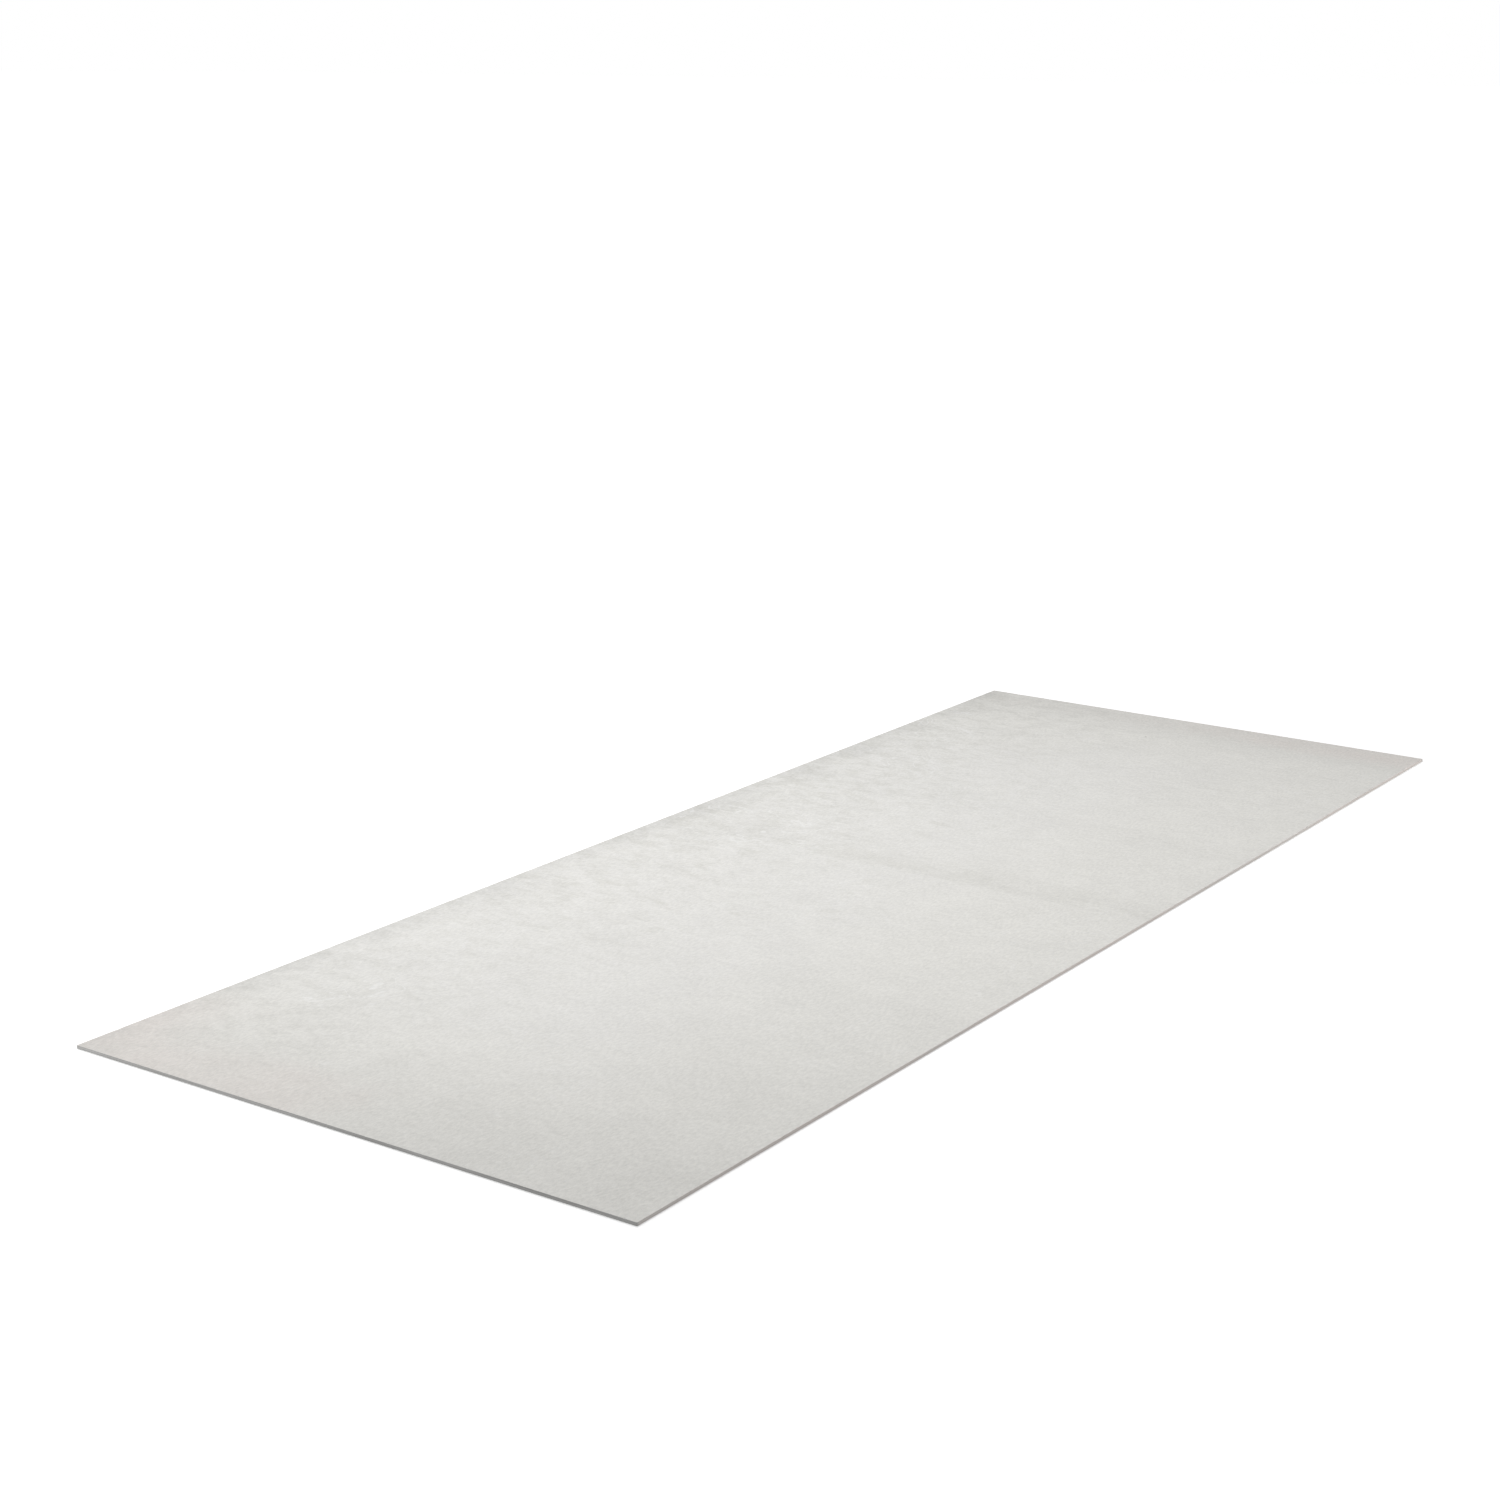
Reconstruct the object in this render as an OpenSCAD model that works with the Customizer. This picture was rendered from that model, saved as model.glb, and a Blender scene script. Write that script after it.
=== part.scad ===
// Square-edged fibre cement sheet: one flat slab of even thickness, trimmed square on all four
// sides. Each sharp arris is eased by a narrow bevel, and the four corners are just knocked off.
// X runs across the width, Y along the length and Z up through the thickness.
// The origin is the middle of the back, which the sheet lies on.

/* [Sheet] */
// Length of the sheet
sheet_l = 2400; // [1200:50:3600]
// Width of the sheet
sheet_w = 900; // [450:50:1350]
// Thickness of the sheet
sheet_t = 4.5; // [3.5:0.5:18]

/* [Edges] */
// Width of the bevel where a trimmed edge meets the finished face
face_arris = 0.5; // [0.1:0.1:1.5]
// Width of the bevel where a trimmed edge meets the back
back_arris = 0.3; // [0.1:0.1:1.5]
// Length that each knocked corner takes off its two edges
corner_ease = 1; // [0.2:0.1:5]

/* [Hidden] */
// Pale, slightly warm grey of the cured cement
cement_grey = [0.86, 0.855, 0.84];

// Outline of the sheet seen from above, with its four knocked corners
module plan_outline() {
    half_w = sheet_w / 2;
    half_l = sheet_l / 2;
    polygon([
        [half_w - corner_ease, -half_l],
        [half_w, corner_ease - half_l],
        [half_w, half_l - corner_ease],
        [half_w - corner_ease, half_l],
        [corner_ease - half_w, half_l],
        [-half_w, half_l - corner_ease],
        [-half_w, corner_ease - half_l],
        [corner_ease - half_w, -half_l]
    ]);
}

// Section through the sheet from one trimmed edge to the other, standing on its back
module trimmed_section(span) {
    half = span / 2;
    polygon([
        [back_arris - half, 0],
        [half - back_arris, 0],
        [half, back_arris],
        [half, sheet_t - face_arris],
        [half - face_arris, sheet_t],
        [face_arris - half, sheet_t],
        [-half, sheet_t - face_arris],
        [-half, back_arris]
    ]);
}

// The sheet is what the outline and the two sections have in common
module sheet() {
    color(cement_grey)
    intersection() {
        linear_extrude(sheet_t)
            plan_outline();
        rotate([90, 0, 0])
            linear_extrude(sheet_l, center = true)
                trimmed_section(sheet_w);
        rotate([90, 0, 90])
            linear_extrude(sheet_w, center = true)
                trimmed_section(sheet_l);
    }
}

sheet();
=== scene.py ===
import math

import bmesh
import bpy
from mathutils import Matrix, Vector


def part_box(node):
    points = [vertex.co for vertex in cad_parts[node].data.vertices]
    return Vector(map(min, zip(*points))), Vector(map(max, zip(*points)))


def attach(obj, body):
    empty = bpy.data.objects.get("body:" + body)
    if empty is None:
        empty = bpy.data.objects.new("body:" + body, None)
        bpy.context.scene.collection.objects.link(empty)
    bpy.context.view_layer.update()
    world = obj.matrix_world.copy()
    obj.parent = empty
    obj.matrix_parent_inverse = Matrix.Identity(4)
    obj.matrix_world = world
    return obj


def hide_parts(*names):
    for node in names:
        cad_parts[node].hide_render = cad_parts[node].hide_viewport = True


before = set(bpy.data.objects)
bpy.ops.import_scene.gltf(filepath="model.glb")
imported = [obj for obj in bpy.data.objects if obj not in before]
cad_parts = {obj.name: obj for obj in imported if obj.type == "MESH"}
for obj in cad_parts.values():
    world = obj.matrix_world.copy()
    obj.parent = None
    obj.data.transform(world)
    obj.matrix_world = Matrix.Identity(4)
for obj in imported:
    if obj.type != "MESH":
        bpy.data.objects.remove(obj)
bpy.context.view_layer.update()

# Sizes of the sheet, in metres, as the frame gives them
sheet_low, sheet_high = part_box("sheet")
SHEET_W, SHEET_L, SHEET_T = sheet_high - sheet_low
HALF_W = SHEET_W / 2
HALF_L = SHEET_L / 2
TINY = 1e-6

# Pressed slab: cells of its faces, the fine border that carries the trimmed edges, and the plies' lines
CELL = 0.024
BORDER = 0.006
BORDER_CUTS = 14
CHIP_REACH = 0.0018
PLY_HEIGHTS = (0.0009, 0.0016, 0.0023, 0.0030, 0.0036)

# Eased arrises and knocked corners
FACE_ARRIS = 0.0005
BACK_ARRIS = 0.0003
CORNER_EASE = 0.001
EASE_STEPS = 2

# Roughness left by trimming: how far a streak runs along an edge and through the plies
STREAK_RUN = 0.03
STREAK_PLY = 0.0006
STREAK_DEPTH = 0.0003
# A chip starts where its cloud is as thick as the first share, and is full at the second
CHIP_RUN = 0.006
CHIP_DEPTH = 0.0006
CHIP_SHARES = (0.69, 0.82)
# Faint waves of the pressed face, which fade out towards the rim
WAVE_RUN = 0.3
WAVE_DEPTH = 0.00015
WAVE_FADE = 0.15
SMOOTH_UP_TO = math.radians(20)

# Facets that look up or down at least this nearly, in a skin this deep, are face or back.
# The others are trimmed edge.
LEVEL = 0.97
SKIN = 0.0002
FACE_SLOT, EDGE_SLOT, BACK_SLOT = range(3)

# Texture map, in shares of its width: the face, the back, and a strip for each long edge and for the ends
MAP_GAP = 0.005
MAP_FACE = 0.66
MAP_BACK = 0.19
MAP_STRIP = 0.04

# Colours of the cement, as linear red, green and blue
CEMENT_GREY = (0.715, 0.707, 0.684, 1)
# A warmer copy of the grey for the less lit places of the face: a painted tint of shade
SHADED_WARM_GREY = (0.716, 0.707, 0.676, 1)
OLIVE_SMUDGE = (0.640, 0.632, 0.600, 1)
PALE_BLOOM = (0.775, 0.770, 0.757, 1)
ROSY_TAN = (0.720, 0.672, 0.640, 1)
DARK_FLECK = (0.330, 0.315, 0.290, 1)
CUT_DARK = (0.560, 0.522, 0.490, 1)
CUT_PALE = (0.735, 0.702, 0.674, 1)
CUT_ROSY = (0.690, 0.628, 0.592, 1)
# Greys of the ends: plain grey, darker than the long sides with painted shade
SHADED_END_DARK = (0.400, 0.396, 0.386, 1)
SHADED_END_PALE = (0.600, 0.595, 0.582, 1)
BACK_GREY = (0.610, 0.602, 0.578, 1)
BACK_DAMP = (0.500, 0.492, 0.465, 1)

# Where the marks of the face lie, in metres from its middle: across to the right, along to the far end.
# Two numbers are where a mark starts and where it is full. Four are the near side of a band, the fade
# before it, its far side and the fade after it.
WANDER_ACROSS = 0.04
WANDER_ALONG = 0.008
CLOUDS_ACROSS = (0.05, -HALF_W)
CLOUDS_ALONG = (-0.6, 0.5)
BLOTCHES_ACROSS = (0.2, -0.1)
BLOTCHES_ALONG = (-0.3, 0.4, 0.3, 0.4)
PRESS_ACROSS = (-0.25, 0.0)
PRESS_BAND = (0.062, 0.014, 0.085, 0.075)
# Where the face has the warmer grey, as a painted tint of shade
SHADED_WARM_ACROSS = (-0.05, 0.3)
SHADED_WARM_FROM_MIDDLE = (HALF_L - 0.5, HALF_L - 0.15)
ROSY_NEAR_LEFT = ((0.02, -0.1), (0.15 - HALF_L, 0.07 - HALF_L))
ROSY_NEAR_CORNER = ((0.15 - HALF_W, 0.03 - HALF_W), (0.3 - HALF_L, 0.12 - HALF_L))
ROSY_FAR_RIGHT = ((-0.05, 0.2), (HALF_L - 0.12, HALF_L - 0.03))

# Darker marks of the face, with the share of light that each takes away where it is full. The near end, the
# near right, the far end and the left rim are painted shade; the bands and spots are darker patches.
# Bands and spots have their middle along the sheet, their fade to both sides and that share.
# A share below 0 is a pale spot.
FAINT_BANDS = ((0.44, 0.07, 0.018), (-0.47, 0.05, 0.016), (-0.14, 0.04, 0.01))
LEFT_SPOTS = ((0.66, 0.13, 0.02), (0.1, 0.25, 0.034), (-0.5, 0.2, -0.022), (-0.88, 0.12, 0.02))
LEFT_SPOTS_ACROSS = (-0.1, -HALF_W)
# Painted shade on the face: the near right, the near end, the far end and the left rim
NEAR_RIGHT = ((-0.05, HALF_W), (-0.3, -0.9))
NEAR_RIGHT_PAINTED_SHADE = 0.042
NEAR_END = (0.33 - HALF_L, -HALF_L)
NEAR_END_PAINTED_SHADE = 0.082
NEAR_END_SHADE_HALVES = (0.05, HALF_W)
FAR_END = (HALF_L - 0.2, HALF_L - 0.02)
FAR_END_PAINTED_SHADE = 0.08
LEFT_RIM = (0.08 - HALF_W, -0.02 - HALF_W)
LEFT_RIM_PAINTED_SHADE = 0.09

# Nearly all the values of a noise lie between these two
NOISE_RANGE = (0.2, 0.8)

# Where the rosy long edges turn into the grey ends, darker with painted shade, from the middle of the sheet
GREY_FROM_MIDDLE = (HALF_L - 0.004, HALF_L - 0.001)

# Camera, from the perspective of the sheet's four corners
CAMERA_PLACE = Vector((2.002, -3.256, 1.223 + SHEET_T))
CAMERA_TURN = math.radians(34.40)
CAMERA_DIP = math.radians(14.96)
CAMERA_ROLL = math.radians(0.47)
FOCAL_PIXELS = 2565
FRAME_PIXELS = 1500
SENSOR = 36.0

# Studio: an even sky, and a floor that glows less beside the sheet than a reach away from it, a painted
# shadow round the sheet
WHITE = (1, 1, 1, 1)
SKY_LIGHT = 0.44
FLOOR_SIZE = 400.0
FLOOR_DROP = 0.0003
FLOOR_SHOWN = (0.8, 0.8, 0.8, 1)
FLOOR_BOUNCE = (0.25, 0.25, 0.25, 1)
GLOW_REACH = 0.3
GLOW_BESIDE_PAINTED_SHADOW = 0.38
GLOW_AWAY = 0.7
# Softboxes: name, place, the point that it looks at, size and watts
SOFTBOXES = (
    ("key_softbox", Vector((-0.75, 0.0, 2.45)), Vector((-0.5, 0, 0)), 1.5, 41.5),
    ("side_softbox", Vector((3.0, 1.4, 0.3)), Vector((HALF_W, 0.3, 0)), 0.6, 38),
    ("left_softbox", Vector((-1.7, -2.3, 0.4)), Vector((-HALF_W, -HALF_L, 0)), 0.7, 21),
)


# Selecting

def leave_editing():
    """Go back to object mode with nothing selected."""
    if bpy.context.object and bpy.context.object.mode != "OBJECT":
        bpy.ops.object.mode_set(mode="OBJECT")
    bpy.ops.object.select_all(action="DESELECT")


def select_edges(slab, wanted):
    """Select only the edges of the slab whose two ends pass a test."""
    bpy.ops.mesh.select_all(action="DESELECT")
    bpy.ops.mesh.select_mode(type="EDGE")
    edit = bmesh.from_edit_mesh(slab.data)
    for edge in edit.edges:
        edge.select_set(wanted(*(v.co for v in edge.verts)))
    bmesh.update_edit_mesh(slab.data)


def depth_in(point):
    """How far a point lies inside the nearest trimmed edge, seen from above."""
    return min(HALF_W - abs(point.x), HALF_L - abs(point.y))


def is_corner(a, b):
    """True for the upright edges at the four corners."""
    at_corner = all(HALF_W - abs(p.x) < TINY and HALF_L - abs(p.y) < TINY for p in (a, b))
    return at_corner and abs(a.z - b.z) > TINY


def is_rim(a, b, height):
    """True for the edges of the outline at that height, with the short ones across the knocked corners."""
    level = abs(a.z - height) < TINY and abs(b.z - height) < TINY
    return level and depth_in(a) < CORNER_EASE and depth_in(b) < CORNER_EASE


def runs_along_border(a, b):
    """True for an edge in the border that runs the same way as a side that it lies beside."""
    edge = b - a
    along_y = abs(edge.y) > max(abs(edge.x), abs(edge.z))
    along_x = abs(edge.x) > max(abs(edge.y), abs(edge.z))
    beside_long = min(abs(a.x), abs(b.x)) > HALF_W - BORDER - TINY
    beside_end = min(abs(a.y), abs(b.y)) > HALF_L - BORDER - TINY
    return edge.length > BORDER / 2 and ((along_y and beside_long) or (along_x and beside_end))


# Modelling the sheet

def pressed_slab():
    """The slab as pressed: a grid of the sheet's size, raised to its thickness."""
    leave_editing()
    cells_across = round(SHEET_W / CELL)
    cells_along = round(SHEET_L / CELL)
    bpy.ops.mesh.primitive_grid_add(x_subdivisions=cells_across, y_subdivisions=cells_along,
                                    size=1, calc_uvs=False)
    slab = bpy.context.object
    slab.name = "cement_sheet"
    bpy.ops.object.mode_set(mode="EDIT")
    bpy.ops.transform.resize(value=(SHEET_W, SHEET_L, 1))
    bpy.ops.mesh.extrude_region_move(TRANSFORM_OT_translate={"value": (0, 0, SHEET_T)})
    bpy.ops.mesh.select_all(action="SELECT")
    bpy.ops.mesh.normals_make_consistent(inside=False)
    return slab


def cut_all_through(place, normal):
    """Cut every face by a plane, and keep both sides."""
    bpy.ops.mesh.select_all(action="SELECT")
    bpy.ops.mesh.bisect(plane_co=place, plane_no=normal)


def mark_border_and_plies():
    """Two lines round both faces for the fine border, and level lines on the walls for the plies."""
    for depth in (BORDER, CHIP_REACH):
        for side in (-1, 1):
            cut_all_through((side * (HALF_W - depth), 0, 0), (1, 0, 0))
            cut_all_through((0, side * (HALF_L - depth), 0), (0, 1, 0))
    for height in PLY_HEIGHTS:
        cut_all_through((0, 0, height), (0, 0, 1))


def ease_edges(slab):
    """Knock off the four corners, then bevel the arris round the face and round the back."""
    select_edges(slab, is_corner)
    bpy.ops.mesh.bevel(offset=CORNER_EASE, segments=EASE_STEPS, affect="EDGES")
    for height, width in ((SHEET_T, FACE_ARRIS), (0, BACK_ARRIS)):
        select_edges(slab, lambda a, b: is_rim(a, b, height))
        bpy.ops.mesh.bevel(offset=width, segments=EASE_STEPS, affect="EDGES")


def weigh(slab, name, weight_at):
    """A vertex group whose weights come from each vertex's place."""
    group = slab.vertex_groups.new(name=name)
    for vertex in slab.data.vertices:
        weight = weight_at(vertex.co)
        if weight > 0:
            group.add([vertex.index], weight, "REPLACE")
    return group.name


def clouds(name, run, detail):
    """A cloudy texture for displacing, whose clouds are about that long."""
    texture = bpy.data.textures.new(name, "CLOUDS")
    texture.noise_scale = run
    texture.noise_depth = detail
    return texture


def displace(slab, group, texture, **settings):
    """Push the vertices of a group by a texture, and apply it."""
    push = slab.modifiers.new(group, "DISPLACE")
    push.vertex_group = group
    push.texture = texture
    push.texture_coords = "LOCAL"
    for name, value in settings.items():
        setattr(push, name, value)
    bpy.context.view_layer.objects.active = slab
    bpy.ops.object.modifier_apply(modifier=push.name)


def streak_space():
    """An empty whose own space is squeezed, so that a texture read in it draws out into streaks."""
    bpy.ops.object.empty_add(location=(0, 0, 0))
    space = bpy.context.object
    space.scale = (STREAK_RUN, STREAK_RUN, STREAK_PLY)
    bpy.context.view_layer.update()
    return space


def roughen_edges(slab):
    """Streaks along the plies of the trimmed edges, always inwards."""
    space = streak_space()
    group = weigh(slab, "trimmed_edges", lambda p: 1.0 if depth_in(p) < TINY else 0.0)
    displace(slab, group, clouds("trim_streaks", 1.0, detail=2), texture_coords="OBJECT",
             texture_coords_object=space, mid_level=1.0, strength=STREAK_DEPTH)
    bpy.data.objects.remove(space)


def chip_arrises(slab):
    """Small chips broken out of the arrises, where the clouds are thickest."""
    def at_arris(point):
        """1 on the arris of the face and of the back, 0 elsewhere."""
        above = SHEET_T - point.z < FACE_ARRIS + TINY
        below = point.z < BACK_ARRIS + TINY
        return 1.0 if depth_in(point) < 2 * FACE_ARRIS and (above or below) else 0.0

    texture = clouds("arris_chips", CHIP_RUN, detail=2)
    texture.use_color_ramp = True
    for stop, share, level in zip(texture.color_ramp.elements, CHIP_SHARES, (0, 1)):
        stop.position = share
        stop.color = (level, level, level, 1)
    group = weigh(slab, "arrises", at_arris)
    displace(slab, group, texture, mid_level=0.0, strength=-CHIP_DEPTH)


def wave_face(slab):
    """Very shallow waves in the pressed face, always downwards."""
    def on_face(point):
        """1 on the face, fading to 0 at its border."""
        share = min(1.0, max(0.0, (depth_in(point) - BORDER) / WAVE_FADE))
        return share if point.z > SHEET_T - TINY else 0.0

    group = weigh(slab, "pressed_face", on_face)
    displace(slab, group, clouds("press_waves", WAVE_RUN, detail=1), direction="Z",
             mid_level=1.0, strength=WAVE_DEPTH)


def make_sheet():
    """The sheet, with plies and eased, slightly chipped edges."""
    slab = pressed_slab()
    mark_border_and_plies()
    ease_edges(slab)
    select_edges(slab, runs_along_border)
    bpy.ops.mesh.subdivide(number_cuts=BORDER_CUTS)
    leave_editing()
    roughen_edges(slab)
    chip_arrises(slab)
    wave_face(slab)
    slab.vertex_groups.clear()
    slab.select_set(True)
    bpy.ops.object.shade_smooth_by_angle(angle=SMOOTH_UP_TO)
    return slab


# Finishes

class Nodes:
    """A tree of shader nodes, empty at first."""

    def __init__(self, tree):
        self.tree = tree
        tree.nodes.clear()

    def add(self, kind, settings=(), **inputs):
        """A node, with its settings made and each input set to a value or linked to a socket."""
        node = self.tree.nodes.new("ShaderNode" + kind)
        for name, value in dict(settings).items():
            setattr(node, name, value)
        for name, value in inputs.items():
            self.give(node.inputs[name.replace("_", " ")], value)
        return node

    def give(self, socket, value):
        """Link a socket to an input, or set the input's own value."""
        if isinstance(value, bpy.types.NodeSocket):
            self.tree.links.new(value, socket)
        else:
            socket.default_value = value

    def give_in_order(self, node, values):
        """Fill a node's inputs from the first on."""
        for socket, value in zip(node.inputs, values):
            self.give(socket, value)
        return node

    def maths(self, operation, *values):
        """One calculation with one or two values or sockets."""
        node = self.add("Math", {"operation": operation})
        return self.give_in_order(node, values).outputs["Value"]

    def vector_maths(self, operation, *values):
        """The node of one calculation with one or two vectors."""
        node = self.add("VectorMath", {"operation": operation})
        return self.give_in_order(node, values)

    def seen_directly(self):
        """1 for what the camera sees, also mirrored or through glass, and 0 for light that lights things."""
        path = self.add("LightPath").outputs
        seen = path["Is Camera Ray"]
        for name in ("Is Glossy Ray", "Is Transmission Ray"):
            seen = self.maths("MAXIMUM", seen, path[name])
        return seen


class Finish(Nodes):
    """The nodes of one material. Each call adds what its name says and returns its socket."""

    def __init__(self, name):
        self.material = bpy.data.materials.new(name)
        self.material.use_nodes = True
        super().__init__(self.material.node_tree)
        self.place = self.add("TexCoord").outputs["Object"]

    def stretched(self, across=1.0, along=1.0, through=1.0):
        """The place on the sheet, multiplied along each axis. Below 1, a pattern is drawn out."""
        scale = (across, along, through)
        return self.add("Mapping", Vector=self.place, Scale=scale).outputs["Vector"]

    def noise(self, place, to_a_metre, detail=2.0, roughness=0.5, warp=0.0):
        """Cloudy values about 0.5, with about that many clouds to a metre."""
        node = self.add("TexNoise", Vector=place, Scale=to_a_metre, Detail=detail, Roughness=roughness,
                        Distortion=warp)
        return node.outputs["Fac"]

    def ramp(self, value, low, high, at_low=0.0, at_high=1.0):
        """A value brought from one range into another, smoothly and held at its ends."""
        node = self.add("MapRange", {"interpolation_type": "SMOOTHSTEP"}, Value=value,
                        From_Min=low, From_Max=high, To_Min=at_low, To_Max=at_high)
        return node.outputs["Result"]

    def times(self, first, second):
        """Two values multiplied."""
        return self.maths("MULTIPLY", first, second)

    def plus(self, first, second):
        """Two values added."""
        return self.maths("ADD", first, second)

    def larger(self, first, second):
        """The larger of two values."""
        return self.maths("MAXIMUM", first, second)

    def over(self, share, below, above):
        """A colour laid over another, by a share from 0 to 1."""
        node = self.add("Mix", {"data_type": "RGBA"})
        self.give(node.inputs["Factor"], share)
        colours = [s for s in node.inputs if s.type == "RGBA"]
        self.give(colours[0], below)
        self.give(colours[1], above)
        return next(s for s in node.outputs if s.type == "RGBA")

    def brighten(self, colour, amount):
        """A colour multiplied by a value about 1."""
        node = self.vector_maths("SCALE", colour)
        self.give(node.inputs["Scale"], amount)
        return node.outputs["Vector"]

    def close(self, colour, roughness, height, relief, shine):
        """The cement shader, with its relief. It returns the finished material."""
        bump = self.add("Bump", Strength=1.0, Distance=relief, Height=height)
        shader = self.add("BsdfPrincipled", Base_Color=colour, Roughness=roughness,
                          Normal=bump.outputs["Normal"], Specular_IOR_Level=shine)
        self.add("OutputMaterial", Surface=shader.outputs["BSDF"])
        return self.material


class FaceFinish(Finish):
    """The nodes of the smooth face, whose marks go by their place across and along the sheet."""

    def __init__(self):
        super().__init__("smooth_cement_face")
        across, along, _ = self.add("SeparateXYZ", Vector=self.place).outputs
        self.wander = self.noise(self.place, to_a_metre=9.0, detail=6.0, roughness=0.65)
        self.across = self.wandering(across, WANDER_ACROSS)
        self.along = self.wandering(along, WANDER_ALONG)
        self.patch = self.noise(self.place, to_a_metre=4.0)
        self.cloud = self.noise(self.stretched(across=0.75), to_a_metre=40.0, detail=8.0, roughness=0.8,
                                warp=0.15)
        # Beside the left long edge, where the sheen falls; the clouds grow there as painted sheen mottle
        self.beside_left = self.ramp(self.across, *CLOUDS_ACROSS, 0.3, 1.0)
        self.fibre = self.noise(self.stretched(along=0.45), to_a_metre=240.0, detail=5.0, roughness=0.68)
        self.grain = self.noise(self.place, to_a_metre=1400.0, detail=3.0, roughness=0.6)

    def wandering(self, place, reach):
        """A place that wanders to both sides, so that the marks have no straight edges."""
        return self.plus(place, self.ramp(self.wander, *NOISE_RANGE, -reach, reach))

    def band(self, near_side, near_fade, far_side, far_fade):
        """1 in a band right across the sheet, fading to 0 before it and after it."""
        before = self.ramp(self.along, near_side - near_fade, near_side)
        return self.times(before, self.ramp(self.along, far_side, far_side + far_fade, 1.0, 0.0))

    def corner(self, across, along, least=0.0, most=1.0):
        """A mark that grows both across and along the sheet."""
        return self.times(self.ramp(self.across, *across, least, most), self.ramp(self.along, *along))

    def ground(self):
        """The plain cement, with a warmer grey on the right and towards both ends, where the face gets less
        light: a painted tint of shade.
        """
        towards_end = self.ramp(self.maths("ABSOLUTE", self.along), *SHADED_WARM_FROM_MIDDLE)
        shaded_warmth = self.larger(self.ramp(self.across, *SHADED_WARM_ACROSS), towards_end)
        return self.over(shaded_warmth, CEMENT_GREY, SHADED_WARM_GREY)

    def clouded(self):
        """Share of the olive clouds of every size: the cement's own mottle, with painted sheen mottle making
        them strongest beside the left long edge.
        """
        share = self.times(self.ramp(self.cloud, 0.41, 0.65), self.beside_left)
        return self.times(share, self.ramp(self.along, *CLOUDS_ALONG, 0.8, 1.2))

    def blotched(self):
        """Share of the sparse olive blotches further in."""
        drawn_out = self.stretched(across=0.6, along=1.2)
        blotch = self.noise(drawn_out, to_a_metre=18.0, detail=5.0, roughness=0.65)
        further_in = self.times(self.ramp(self.across, *BLOTCHES_ACROSS, 0.0, 0.62),
                                self.band(*BLOTCHES_ALONG))
        return self.times(self.ramp(blotch, 0.57, 0.66), further_in)

    def pressed(self):
        """Share of the broken olive band right across, just past the middle, from the pressing."""
        broken = self.noise(self.stretched(across=0.3), to_a_metre=36.0, detail=3.0, roughness=0.6)
        share = self.times(self.ramp(self.across, *PRESS_ACROSS, 0.15, 0.6),
                           self.ramp(broken, 0.38, 0.6, 0.4, 1.15))
        return self.times(self.band(*PRESS_BAND), share)

    def wisps(self):
        """Share of the few pale wisps between the clouds, where the wet skin was drawn out."""
        curl = self.noise(self.place, to_a_metre=13.0, warp=1.2)
        curl = self.maths("ABSOLUTE", self.plus(curl, -0.5))
        wisp = self.times(self.ramp(curl, 0.0, 0.02, 0.9, 0.0), self.ramp(self.patch, 0.52, 0.6))
        return self.times(wisp, self.beside_left)

    def rosy_tint(self):
        """Share of the rosy tint at the left of the near end and at the right of the far end."""
        near = self.larger(self.corner(*ROSY_NEAR_LEFT), self.corner(*ROSY_NEAR_CORNER))
        rosy = self.larger(near, self.corner(*ROSY_FAR_RIGHT, least=0.3, most=1.2))
        return self.times(rosy, self.ramp(self.patch, 0.35, 0.6, 0.25, 0.6))

    def painted_shade_and_marks(self):
        """Share of light taken away: painted shade at the near end, the near right, the far end and the left
        rim, and the darker bands and spots.
        """
        # Painted shade at the near end, the near right, the far end and the left rim
        near_end = self.times(self.ramp(self.along, *NEAR_END, 0.0, NEAR_END_PAINTED_SHADE),
                              self.ramp(self.across, *NEAR_END_SHADE_HALVES, 1.0, 0.5))
        shade_and_marks = self.plus(near_end, self.corner(*NEAR_RIGHT, most=NEAR_RIGHT_PAINTED_SHADE))
        shade_and_marks = self.plus(shade_and_marks, self.ramp(self.along, *FAR_END, 0.0, FAR_END_PAINTED_SHADE))
        shade_and_marks = self.plus(shade_and_marks, self.ramp(self.across, *LEFT_RIM, 0.0, LEFT_RIM_PAINTED_SHADE))
        for middle, fade, share in FAINT_BANDS:
            shade_and_marks = self.plus(shade_and_marks, self.times(self.band(middle, fade, middle, fade), share))
        on_left = self.ramp(self.across, *LEFT_SPOTS_ACROSS)
        for middle, fade, share in LEFT_SPOTS:
            spot = self.times(self.band(middle, fade, middle, fade), on_left)
            shade_and_marks = self.plus(shade_and_marks, self.times(spot, share))
        return shade_and_marks

    def shade(self):
        """Brightness about 1, from the fibres, the grain, the darker bands and spots and the painted shade.
        """
        shade = self.maths("SUBTRACT", self.ramp(self.fibre, *NOISE_RANGE, 0.9, 1.1), self.painted_shade_and_marks())
        shade = self.plus(shade, self.ramp(self.grain, *NOISE_RANGE, -0.06, 0.06))
        return self.plus(shade, self.ramp(self.wander, 0.3, 0.7, -0.02, 0.02))

    def hairs(self):
        """Share of the fine pale hairs of fibre."""
        hair = self.noise(self.stretched(along=0.08), to_a_metre=1500.0, detail=1.0, warp=0.6)
        return self.ramp(hair, 0.66, 0.76, 0.0, 0.5)

    def flecks(self):
        """Share of the few dark flecks."""
        fleck = self.noise(self.place, to_a_metre=75.0, detail=1.0)
        return self.ramp(fleck, 0.80, 0.86, 0.0, 0.4)


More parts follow.
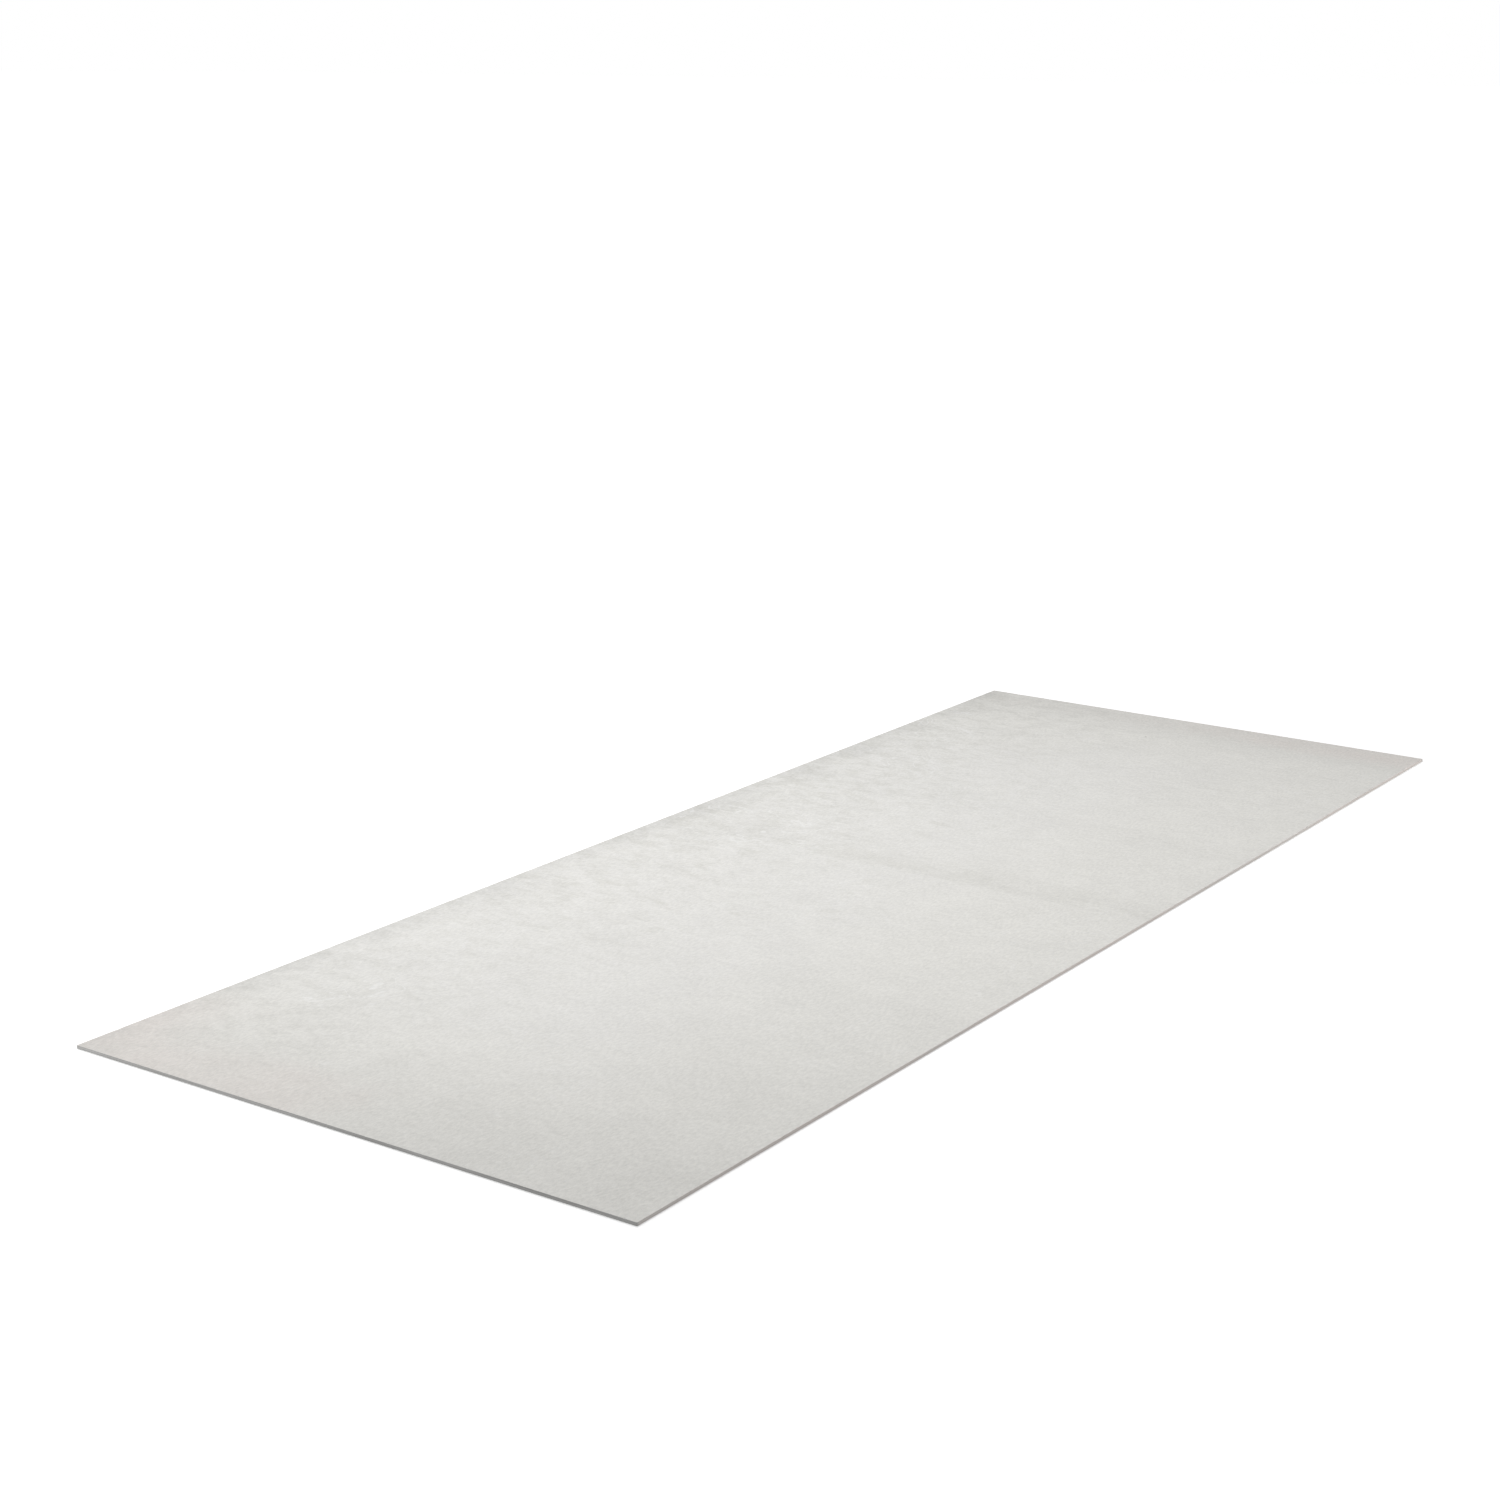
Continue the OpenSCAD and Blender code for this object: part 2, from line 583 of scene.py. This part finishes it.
def smooth_face():
    """The finished face: pale grey, clouded beside the left edge, with faint bands, fibres and flecks."""
    face = FaceFinish()
    smudges = face.plus(face.plus(face.clouded(), face.blotched()), face.pressed())
    colour = face.over(smudges, face.ground(), OLIVE_SMUDGE)
    colour = face.over(face.wisps(), colour, PALE_BLOOM)
    colour = face.over(face.rosy_tint(), colour, ROSY_TAN)
    colour = face.brighten(colour, face.shade())
    colour = face.over(face.hairs(), colour, PALE_BLOOM)
    colour = face.over(face.flecks(), colour, DARK_FLECK)
    roughness = face.ramp(face.plus(face.cloud, face.times(face.fibre, 0.4)), 0.5, 0.9, 0.70, 0.86)
    height = face.plus(face.fibre, face.times(face.grain, 0.8))
    return face.close(colour, roughness, height, relief=0.00012, shine=0.35)


def trimmed_edge():
    """The trimmed edges, streaked along the plies: rosy beige on the long sides, grey on the ends, darker
    there with painted shade.
    """
    edge = Finish("trimmed_cement_edge")
    plies = edge.stretched(across=6.0, along=6.0, through=1100.0)
    streak = edge.noise(plies, to_a_metre=1.0, detail=5.0, roughness=0.6)
    pale_streak = edge.ramp(streak, 0.3, 0.7)
    rosy = edge.ramp(edge.noise(edge.place, to_a_metre=3.0), 0.4, 0.65, 0.0, 0.6)
    long_side = edge.over(rosy, edge.over(pale_streak, CUT_DARK, CUT_PALE), CUT_ROSY)
    along = edge.add("SeparateXYZ", Vector=edge.place).outputs["Y"]
    at_end = edge.ramp(edge.maths("ABSOLUTE", along), *GREY_FROM_MIDDLE)
    # The ends take the darker grey, with painted shade
    colour = edge.over(at_end, long_side, edge.over(pale_streak, SHADED_END_DARK, SHADED_END_PALE))
    roughness = edge.ramp(streak, 0.3, 0.7, 0.95, 0.82)
    height = edge.plus(streak, edge.noise(edge.place, to_a_metre=1500.0, detail=3.0))
    return edge.close(colour, roughness, height, relief=0.0001, shine=0.3)


def felt_back():
    """The back: greyer and rougher, with the mark of the felt that carried the wet sheet."""
    back = Finish("felt_marked_cement_back")
    damp = back.noise(back.place, to_a_metre=5.0, detail=8.0, roughness=0.6, warp=0.5)
    colour = back.over(back.ramp(damp, 0.42, 0.7, 0.0, 0.8), BACK_GREY, BACK_DAMP)
    felt = back.noise(back.stretched(along=0.5), to_a_metre=500.0, detail=5.0, roughness=0.65)
    colour = back.brighten(colour, back.ramp(felt, *NOISE_RANGE, 0.94, 1.06))
    roughness = back.ramp(damp, 0.3, 0.7, 0.92, 0.8)
    return back.close(colour, roughness, felt, relief=0.0003, shine=0.3)


def finish_sheet(slab):
    """Give the face, the trimmed edges and the back their finishes, by each facet's place and direction."""
    for material in (smooth_face(), trimmed_edge(), felt_back()):
        slab.data.materials.append(material)
    for facet in slab.data.polygons:
        on_face = facet.normal.z > LEVEL and facet.center.z > SHEET_T - SKIN
        on_back = facet.normal.z < -LEVEL and facet.center.z < SKIN
        facet.material_index = FACE_SLOT if on_face else BACK_SLOT if on_back else EDGE_SLOT


# Texture map

def girth(point):
    """Share of the way round a trimmed edge, from the back, over the wall, to the face."""
    way_in = math.copysign(depth_in(point), point.z - SHEET_T / 2)
    share = (point.z + way_in + CHIP_REACH) / (SHEET_T + 2 * CHIP_REACH)
    return min(1.0, max(0.0, share))


def map_columns():
    """Left borders on the map of the face, the back, the two long edges and the ends."""
    left = MAP_GAP
    for width in (MAP_FACE, MAP_BACK, MAP_STRIP, MAP_STRIP, MAP_STRIP):
        yield left
        left += width + MAP_GAP


def lay_out_map(slab):
    """A texture map with the face broad, the back narrow, and the thin edges drawn out into strips."""
    face, back, left_edge, right_edge, ends = map_columns()

    def on_map(facet, point):
        """Place on the map of a point of a facet. The two ends share a strip, one above the other."""
        across = point.x / SHEET_W + 0.5
        along = MAP_GAP + (1 - 2 * MAP_GAP) * (point.y / SHEET_L + 0.5)
        if facet.material_index == FACE_SLOT:
            return face + MAP_FACE * across, along
        if facet.material_index == BACK_SLOT:
            return back + MAP_BACK * (1 - across), along
        middle = facet.center
        upwards = MAP_STRIP * girth(point)
        downwards = MAP_STRIP - upwards
        if HALF_L - abs(middle.y) < HALF_W - abs(middle.x):
            half_way = (0.5 - 2 * MAP_GAP) * across
            if middle.y < 0:
                return ends + downwards, MAP_GAP + half_way
            return ends + upwards, 0.5 + MAP_GAP + half_way
        if middle.x < 0:
            return left_edge + upwards, along
        return right_edge + downwards, along

    layer = slab.data.uv_layers.new(name="OFBake")
    for facet in slab.data.polygons:
        for corner, vertex in zip(facet.loop_indices, facet.vertices):
            layer.uv[corner].vector = on_map(facet, slab.data.vertices[vertex].co)


# Studio

def make_sky():
    """Even light from all round, which the camera sees as white."""
    world = bpy.data.worlds.new("studio")
    bpy.context.scene.world = world
    world.use_nodes = True
    sky = Nodes(world.node_tree)
    strength = sky.add("MapRange", Value=sky.seen_directly(), To_Min=SKY_LIGHT, To_Max=1.0)
    light = sky.add("Background", Color=WHITE, Strength=strength.outputs["Result"])
    sky.add("OutputWorld", Surface=light.outputs["Background"])


def floor_paint():
    """White floor paint that takes the sheet's shadow, and a painted shadow where it glows less beside the
    sheet. Light that bounces finds it pale grey.
    """
    paint = Finish("white_floor")
    beyond = paint.vector_maths("ABSOLUTE", paint.place).outputs["Vector"]
    beyond = paint.vector_maths("SUBTRACT", beyond, (HALF_W, HALF_L, 0)).outputs["Vector"]
    beyond = paint.vector_maths("MAXIMUM", beyond, (0, 0, 0)).outputs["Vector"]
    away = paint.vector_maths("LENGTH", beyond).outputs["Value"]
    # The floor glows less beside the sheet: a painted shadow round it
    strength = paint.add("MapRange", Value=away, From_Max=GLOW_REACH, To_Min=GLOW_BESIDE_PAINTED_SHADOW, To_Max=GLOW_AWAY)
    glow = paint.add("Emission", Strength=strength.outputs["Result"]).outputs["Emission"]
    shown = paint.add("BsdfDiffuse", Color=FLOOR_SHOWN).outputs["BSDF"]
    bounced = paint.add("BsdfDiffuse", Color=FLOOR_BOUNCE).outputs["BSDF"]
    lit = paint.give_in_order(paint.add("AddShader"), (shown, glow)).outputs["Shader"]
    choice = paint.give_in_order(paint.add("MixShader"), (paint.seen_directly(), bounced, lit))
    paint.add("OutputMaterial", Surface=choice.outputs["Shader"])
    return paint.material


def make_floor():
    """A plain floor just under the sheet."""
    leave_editing()
    bpy.ops.mesh.primitive_plane_add(size=FLOOR_SIZE, location=(0, 0, -FLOOR_DROP))
    floor = bpy.context.object
    floor.name = "floor"
    floor.data.materials.append(floor_paint())


def hang_softbox(name, place, aim, size, watts):
    """A square softbox that looks at a point."""
    lamp = bpy.data.lights.new(name, "AREA")
    lamp.size = size
    lamp.energy = watts
    softbox = bpy.data.objects.new(name, lamp)
    softbox.location = place
    softbox.rotation_euler = (aim - place).to_track_quat("-Z", "Y").to_euler()
    bpy.context.scene.collection.objects.link(softbox)


def make_camera():
    """The camera at the photograph's viewing angle."""
    right = Vector((math.cos(CAMERA_TURN), math.sin(CAMERA_TURN), 0))
    level = math.cos(CAMERA_DIP)
    back = Vector((math.sin(CAMERA_TURN) * level, -math.cos(CAMERA_TURN) * level, math.sin(CAMERA_DIP)))
    up = back.cross(right)
    rolled_right = right * math.cos(CAMERA_ROLL) + up * math.sin(CAMERA_ROLL)
    rolled_up = up * math.cos(CAMERA_ROLL) - right * math.sin(CAMERA_ROLL)
    lens = bpy.data.cameras.new("camera")
    lens.sensor_width = SENSOR
    lens.lens = SENSOR * FOCAL_PIXELS / FRAME_PIXELS
    camera = bpy.data.objects.new("camera", lens)
    turn = Matrix((rolled_right, rolled_up, back)).transposed().to_4x4()
    camera.matrix_world = Matrix.Translation(CAMERA_PLACE) @ turn
    bpy.context.scene.collection.objects.link(camera)
    bpy.context.scene.camera = camera


sheet = make_sheet()
finish_sheet(sheet)
lay_out_map(sheet)
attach(sheet, "root")
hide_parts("sheet")

make_sky()
make_floor()
for softbox_values in SOFTBOXES:
    hang_softbox(*softbox_values)
make_camera()
bpy.context.scene.view_settings.view_transform = "Standard"
